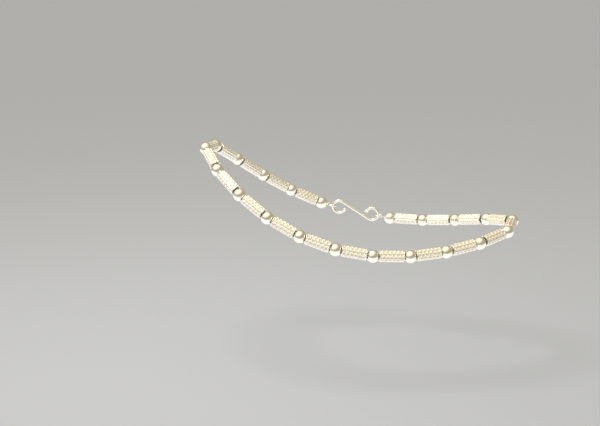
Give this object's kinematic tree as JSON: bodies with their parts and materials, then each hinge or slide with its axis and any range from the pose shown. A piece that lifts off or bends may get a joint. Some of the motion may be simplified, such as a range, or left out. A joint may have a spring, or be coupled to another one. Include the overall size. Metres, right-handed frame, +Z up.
{
  "type": "payal anklet",
  "caption": "Silver anklet of textured tube beads between polished ball beads on a wire, closed by an S-hook, in its worn form.",
  "frame": {"origin": "middle of the opening that the ankle goes through", "axes": "+X from the front of the ankle to the heel, +Y towards the side with the clasp, +Z up the leg"},
  "size_m": [0.1071, 0.0565, 0.0343],
  "materials": {
    "textured_tube_silver": "sterling silver, rolled all over with rows of small pits between bright-cut ridges",
    "polished_ball_silver": "sterling silver, mirror polished",
    "wire_silver": "sterling silver wire, drawn and bright",
    "clasp_silver": "sterling silver wire, bent to shape and polished"
  },
  "bodies": {
    "root": {"ball_01": "polished_ball_silver", "ball_02": "polished_ball_silver", "ball_03": "polished_ball_silver", "ball_04": "polished_ball_silver", "ball_05": "polished_ball_silver", "ball_06": "polished_ball_silver", "ball_07": "polished_ball_silver", "ball_08": "polished_ball_silver", "ball_09": "polished_ball_silver", "ball_10": "polished_ball_silver", "ball_11": "polished_ball_silver", "ball_12": "polished_ball_silver", "ball_13": "polished_ball_silver", "ball_14": "polished_ball_silver", "ball_15": "polished_ball_silver", "ball_16": "polished_ball_silver", "ball_17": "polished_ball_silver", "ball_18": "polished_ball_silver", "ball_19": "polished_ball_silver", "ball_20": "polished_ball_silver", "ball_21": "polished_ball_silver", "s_hook": "clasp_silver", "string_wire": "wire_silver", "tube_01": "textured_tube_silver", "tube_02": "textured_tube_silver", "tube_03": "textured_tube_silver", "tube_04": "textured_tube_silver", "tube_05": "textured_tube_silver", "tube_06": "textured_tube_silver", "tube_07": "textured_tube_silver", "tube_08": "textured_tube_silver", "tube_09": "textured_tube_silver", "tube_10": "textured_tube_silver", "tube_11": "textured_tube_silver", "tube_12": "textured_tube_silver", "tube_13": "textured_tube_silver", "tube_14": "textured_tube_silver", "tube_15": "textured_tube_silver", "tube_16": "textured_tube_silver", "tube_17": "textured_tube_silver", "tube_18": "textured_tube_silver", "tube_19": "textured_tube_silver", "tube_20": "textured_tube_silver"}
  },
  "joints": []
}
